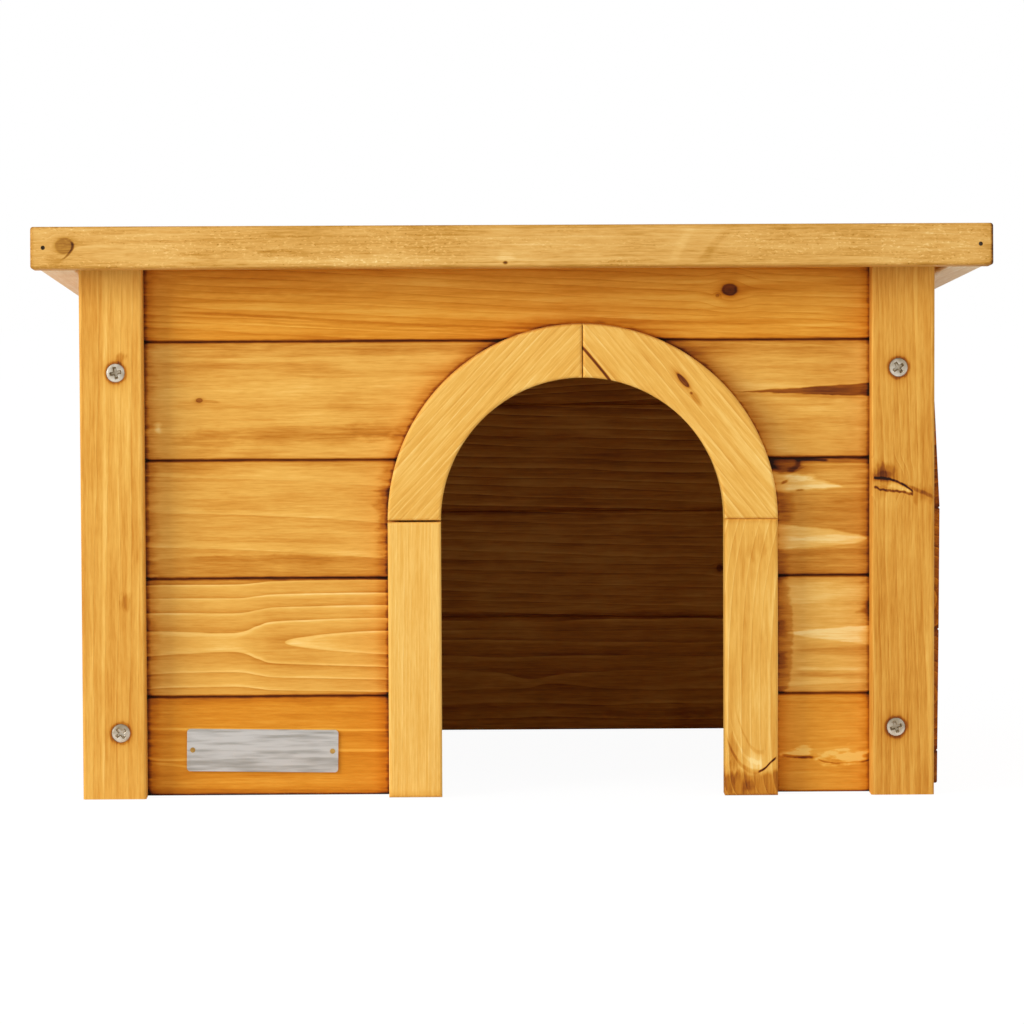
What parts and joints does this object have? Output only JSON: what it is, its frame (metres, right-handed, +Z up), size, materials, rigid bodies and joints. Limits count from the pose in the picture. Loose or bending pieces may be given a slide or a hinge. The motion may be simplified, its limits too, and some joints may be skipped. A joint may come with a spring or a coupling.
{
  "type": "rodent hut",
  "caption": "Small boarded wooden hut for rodents, with an arched trimmed doorway, no floor and a lean-to roof hinged at the back.",
  "frame": {"origin": "on the ground, under the middle of the roof, which is the widest and deepest part", "axes": "+X to the right seen from the doorway, +Y from the doorway to the back, +Z up"},
  "size_m": [0.4, 0.3162, 0.2409],
  "materials": {
    "wall_planks": "translucent honey stain",
    "corner_strips": "translucent honey stain",
    "inner_battens": "translucent honey stain",
    "door_trim": "translucent honey stain",
    "roof_battens": "translucent honey stain",
    "roof_boards": "translucent honey stain",
    "plate_metal": "satin, bare",
    "plate_nail_brass": "plated",
    "screw_steel": "nickel-plated",
    "nail_steel": "dull",
    "hinge_steel": "zinc-plated"
  },
  "bodies": {
    "hut": {"front_plank_1_left": "wall_planks", "front_plank_1_right": "wall_planks", "front_plank_2_left": "wall_planks", "front_plank_2_right": "wall_planks", "front_plank_3_left": "wall_planks", "front_plank_3_right": "wall_planks", "front_plank_4": "wall_planks", "front_plank_5": "wall_planks", "back_plank_1": "wall_planks", "back_plank_2": "wall_planks", "back_plank_3": "wall_planks", "back_plank_4": "wall_planks", "back_plank_5": "wall_planks", "left_plank_1": "wall_planks", "left_plank_2": "wall_planks", "left_plank_3": "wall_planks", "left_plank_4": "wall_planks", "left_plank_5": "wall_planks", "right_plank_1": "wall_planks", "right_plank_2": "wall_planks", "right_plank_3": "wall_planks", "right_plank_4": "wall_planks", "right_plank_5": "wall_planks", "front_left_corner_strip": "corner_strips", "front_right_corner_strip": "corner_strips", "back_left_corner_strip": "corner_strips", "back_right_corner_strip": "corner_strips", "front_left_corner_batten": "inner_battens", "front_right_corner_batten": "inner_battens", "back_left_corner_batten": "inner_battens", "back_right_corner_batten": "inner_battens", "left_jamb": "door_trim", "left_door_arc": "door_trim", "right_jamb": "door_trim", "right_door_arc": "door_trim", "left_hinge_wall_leaf": "hinge_steel", "right_hinge_wall_leaf": "hinge_steel", "left_hinge_pin": "hinge_steel", "right_hinge_pin": "hinge_steel", "name_plate": "plate_metal", "name_plate_nails": "plate_nail_brass", "front_panel_screws": "screw_steel", "back_panel_screws": "screw_steel", "side_plank_nails": "nail_steel", "hinge_wall_screws": "screw_steel"},
    "roof": {"roof_board_1": "roof_boards", "roof_board_2": "roof_boards", "roof_board_3": "roof_boards", "roof_board_4": "roof_boards", "roof_board_5": "roof_boards", "roof_board_6": "roof_boards", "roof_front_fascia": "roof_battens", "roof_rear_batten": "roof_battens", "roof_left_batten": "roof_battens", "roof_right_batten": "roof_battens", "left_hinge_roof_leaf": "hinge_steel", "right_hinge_roof_leaf": "hinge_steel", "roof_nails": "nail_steel", "hinge_roof_screws": "screw_steel"}
  },
  "joints": [
    {"name": "roof_hinge", "type": "hinge", "parent": "hut", "child": "roof", "pos_m": [0, 0.14198, 0.19929], "axis": [-1, 0, 0], "range_deg": [0, 90]}
  ]
}
